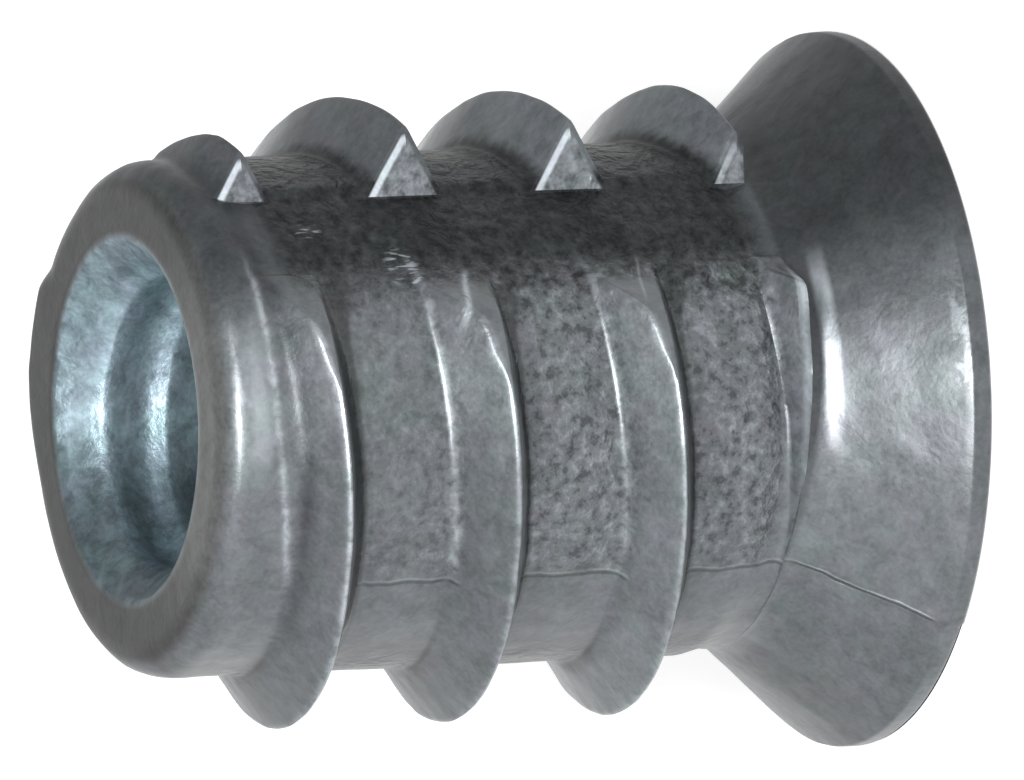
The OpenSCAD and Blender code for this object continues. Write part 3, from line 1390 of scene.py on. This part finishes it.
    def flakes(self) -> Term:
        """Gives a few small bright specks in and beside a gap.

        Returns:
            Up to 1 on a speck and 0 elsewhere.
        """
        sheet, angle, height = self.sheet, self.angle, self.z
        drawn = sheet.vector(height * 2.6, angle * 0.75, 0.0)
        chips = sheet.ramp(sheet.noise(drawn, 1.3, 1.0, 0.5, 0.5), 0.52, 0.66)
        beside = sheet.bump(angle, 57.0, 6.5) * sheet.bump(height, 10.15, 0.34)
        parting = sheet.bump(angle, 44.0, 2.5) * sheet.bump(height, 11.7, 0.26)
        return chips * sheet.ramp(beside + parting, 0.2, 0.7) * self.outside

    def laps(self) -> Term:
        """Gives the cold laps where the ridge starts again behind a gap, as strokes for
        their painted highlights.

        Returns:
            Up to 1 on a lap and 0 elsewhere.
        """
        total: Number = 0.0
        for lap in LAPS:
            away = self.z - (lap.height + (self.angle - lap.first) * lap.slope)
            total = self.sheet.bump(away, 0.0, lap.width) * self.sheet.within(
                self.angle, lap.first, lap.last, 2.5) * lap.strength + total
        return total


@dataclass(frozen=True)
class CastZinc:
    """Dull as-cast zinc alloy: pitted lands, with painted shade over the gaps and
    painted highlights along the edges.
    """

    name: str = "as_cast_zinc"
    level: float = 0.135
    darkest: float = 0.10
    tint: Shade = (0.91, 1.0, 1.07)
    bore_tint: Shade = (0.75, 1.0, 1.12)
    ring_tint: Shade = (0.97, 1.0, 1.0)
    stain: Shade = (0.17, -0.06, 0.15)
    metallic: float = 0.60
    roughness: float = 0.36
    coat_roughness: float = 0.13
    burnish: float = 0.32
    gloss: float = 0.3
    sizes: InsertSizes = field(default_factory=InsertSizes)

    def material(self) -> bpy.types.Material:
        """Builds the finish.

        Returns:
            The material.
        """
        made = bpy.data.materials.new(self.name)
        made.use_nodes = True
        sheet = Sheet(made.node_tree)
        shader = made.node_tree.nodes["Principled BSDF"]
        shader.inputs["Metallic"].default_value = self.metallic
        shader.inputs["Coat Roughness"].default_value = self.coat_roughness

        scale = sheet.node("ShaderNodeVectorMath", operation="SCALE")
        sheet.put(scale.inputs[0], sheet.node("ShaderNodeTexCoord").outputs["Object"])
        scale.inputs["Scale"].default_value = 1000.0
        skin = CastSkin(sheet, scale.outputs[0], self.sizes)
        lines, seam = skin.painted_highlight_lines(), skin.seam()

        # Painted light and shade in the tone: shade over the gap sector, in the bore
        # and behind each crest; light in the bore and on the gap walls; highlights
        # along crest and root, on the laps and front edges; a highlight and shade along
        # the parting lines.
        tone = skin.plain_tone() * skin.bore_tone()
        tone = tone * sheet.changed(skin.shade_behind_crest(), -0.6) + lines * 0.85
        tone = skin.gap_walls(tone + skin.glints()) * sheet.changed(seam, 0.5)
        tone = sheet.high(tone + skin.flakes() * 1.7, self.darkest) * self.level

        sheet.put(shader.inputs["Base Color"], self.coloured(skin, tone))
        bare = skin.bare()
        sheet.put(shader.inputs["Coat Weight"], bare * self.burnish)
        sheet.put(shader.inputs["Specular IOR Level"], bare * self.gloss)
        roughness = (self.roughness + (skin.grain - 0.5) * 0.20 + skin.gap * 0.10
                     + skin.inside * 0.05 - lines * 0.05)
        sheet.put(shader.inputs["Roughness"], sheet.limit(roughness, 0.15, 0.8))
        sheet.put(shader.inputs["Normal"], skin.relief(seam))
        return made

    def coloured(self, skin: CastSkin, tone: Term) -> bpy.types.NodeSocket:
        """Gives the colour of a tone, with faint stains.

        Args:
            skin: The skin, whose bore and end ring have tints of their own.
            tone: How light the point is.

        Returns:
            The colour.
        """
        return skin.sheet.vector(*(
            tone * (plain + (bore - plain) * skin.inside
                    + (ring - plain) * skin.end_ring + (skin.hue - 0.5) * swing)
            for plain, bore, ring, swing in zip(self.tint, self.bore_tint,
                                                self.ring_tint, self.stain)))


# ---------------------------------------------------------------- stage
@dataclass(frozen=True)
class Viewpoint:
    """Where the camera stands and what it frames, in metres and degrees."""

    across: float = 23.668
    tilt: float = -2.337
    target: tuple[float, float, float] = (0.0002606, 0.0, 0.0064865)
    width: float = 0.018262
    lens: float = 1200.0
    sensor: float = 36.0
    near: float = 0.01
    far: float = 5.0

    def place(self) -> None:
        """Makes the camera, with the part's axis lying across the picture."""
        psi, tilt = math.radians(self.across), math.radians(-self.tilt)
        along = Vector((0.0, -math.sin(psi), -math.cos(psi)))
        upward = Vector((1.0, 0.0, 0.0))
        back = Vector((0.0, -math.cos(psi), math.sin(psi)))
        right = along * math.cos(tilt) - upward * math.sin(tilt)
        up = along * math.sin(tilt) + upward * math.cos(tilt)
        data = bpy.data.cameras.new("camera")
        data.lens, data.sensor_width = self.lens, self.sensor
        away = self.width / self.sensor * self.lens
        data.clip_start, data.clip_end = self.near, self.far
        camera = bpy.data.objects.new("camera", data)
        turn = Matrix((right, up, back)).transposed().to_4x4()
        stand = Vector(self.target) + back * away
        camera.matrix_world = Matrix.Translation(stand) @ turn
        bpy.context.scene.collection.objects.link(camera)
        bpy.context.scene.camera = camera


@dataclass(frozen=True)
class Lamp:
    """A soft lamp: its place in degrees, its power in watts, its size in metres."""

    name: str
    angle: float
    tilt: float
    power: float
    width: float
    height: float

    def hang(self, middle: Vector, away: float) -> None:
        """Hangs the lamp so that it faces the part.

        Args:
            middle: The point it faces.
            away: How far it hangs from that point, in metres.
        """
        turn, lift = math.radians(self.angle), math.radians(self.tilt)
        way = Vector((math.cos(turn) * math.cos(lift),
                      -math.sin(turn) * math.cos(lift), math.sin(lift)))
        data = bpy.data.lights.new(self.name, "AREA")
        data.shape, data.energy = "RECTANGLE", self.power
        data.size, data.size_y = self.width, self.height
        lamp = bpy.data.objects.new(self.name, data)
        lamp.matrix_world = (Matrix.Translation(middle + way * away)
                             @ way.to_track_quat("Z", "Y").to_matrix().to_4x4())
        bpy.context.scene.collection.objects.link(lamp)


@dataclass(frozen=True)
class Studio:
    """Plain soft light, a pale floor and a white background."""

    floor_size: float = 3.0
    floor_pale: float = 0.8
    floor_rough: float = 0.9
    floor_glow: float = 0.6
    world_level: float = 0.22
    middle: tuple[float, float, float] = (0.0, 0.0, 0.007)
    away: float = 0.25
    lamps: tuple[Lamp, ...] = (Lamp("strip", 89.0, 45.0, 0.44, 0.18, 0.06),
                               Lamp("key", 90.0, 43.0, 0.17, 0.035, 0.035),
                               Lamp("fill", 145.0, 24.0, 0.20, 0.30, 0.30))

    def build(self) -> None:
        """Makes the floor, the lamps and the world."""
        self.floor()
        for lamp in self.lamps:
            lamp.hang(Vector(self.middle), self.away)
        self.world()

    def background(self, sheet: Sheet) -> Term:
        """Gives 1 for a ray from the camera, a reflection or a clear body.

        Args:
            sheet: The tree of the floor or the world.

        Returns:
            The mask, 0 for every other ray.
        """
        path = sheet.node("ShaderNodeLightPath")
        camera, glossy, clear = (Term(sheet, path.outputs[f"Is {kind} Ray"])
                                 for kind in ("Camera", "Glossy", "Transmission"))
        return sheet.high(camera, sheet.high(glossy, clear))

    def floor(self) -> None:
        """Lays the pale floor under the head."""
        half = self.floor_size / 2
        mesh = bpy.data.meshes.new("floor")
        mesh.from_pydata([(-half, -half, 0), (half, -half, 0), (half, half, 0),
                          (-half, half, 0)], [], [(0, 1, 2, 3)])
        piece = bpy.data.objects.new("floor", mesh)
        bpy.context.scene.collection.objects.link(piece)
        made = bpy.data.materials.new("pale_floor")
        made.use_nodes = True
        sheet = Sheet(made.node_tree)
        shader = made.node_tree.nodes["Principled BSDF"]
        shader.inputs["Base Color"].default_value = (self.floor_pale,) * 3 + (1.0,)
        shader.inputs["Roughness"].default_value = self.floor_rough
        shader.inputs["Specular IOR Level"].default_value = 0.0
        shader.inputs["Emission Color"].default_value = (1.0, 1.0, 1.0, 1.0)
        sheet.put(shader.inputs["Emission Strength"],
                  self.background(sheet) * self.floor_glow)
        mesh.materials.append(made)

    def world(self) -> None:
        """Sets the world: white where it is seen, softer where it only lights."""
        world = bpy.data.worlds.new("studio")
        bpy.context.scene.world = world
        world.use_nodes = True
        sheet = Sheet(world.node_tree)
        ground = world.node_tree.nodes["Background"]
        ground.inputs["Color"].default_value = (1.0, 1.0, 1.0, 1.0)
        sheet.put(ground.inputs["Strength"], self.background(sheet)
                  * (1.0 - self.world_level) + self.world_level)


def main() -> None:
    """Builds the part, its finish, the light and the camera."""
    logging.basicConfig(level=logging.INFO, format="%(name)s: %(message)s")
    bpy.context.scene.view_settings.view_transform = "Standard"
    piece = CastInsert().build(CastZinc().material())
    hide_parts("insert_nut")
    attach(piece, "root")
    LOG.info("%s: %d faces", piece.name, len(piece.data.polygons))
    Studio().build()
    Viewpoint().place()
    LOG.info("floor, lamps, world and camera are in place")


if __name__ == "__main__":
    main()
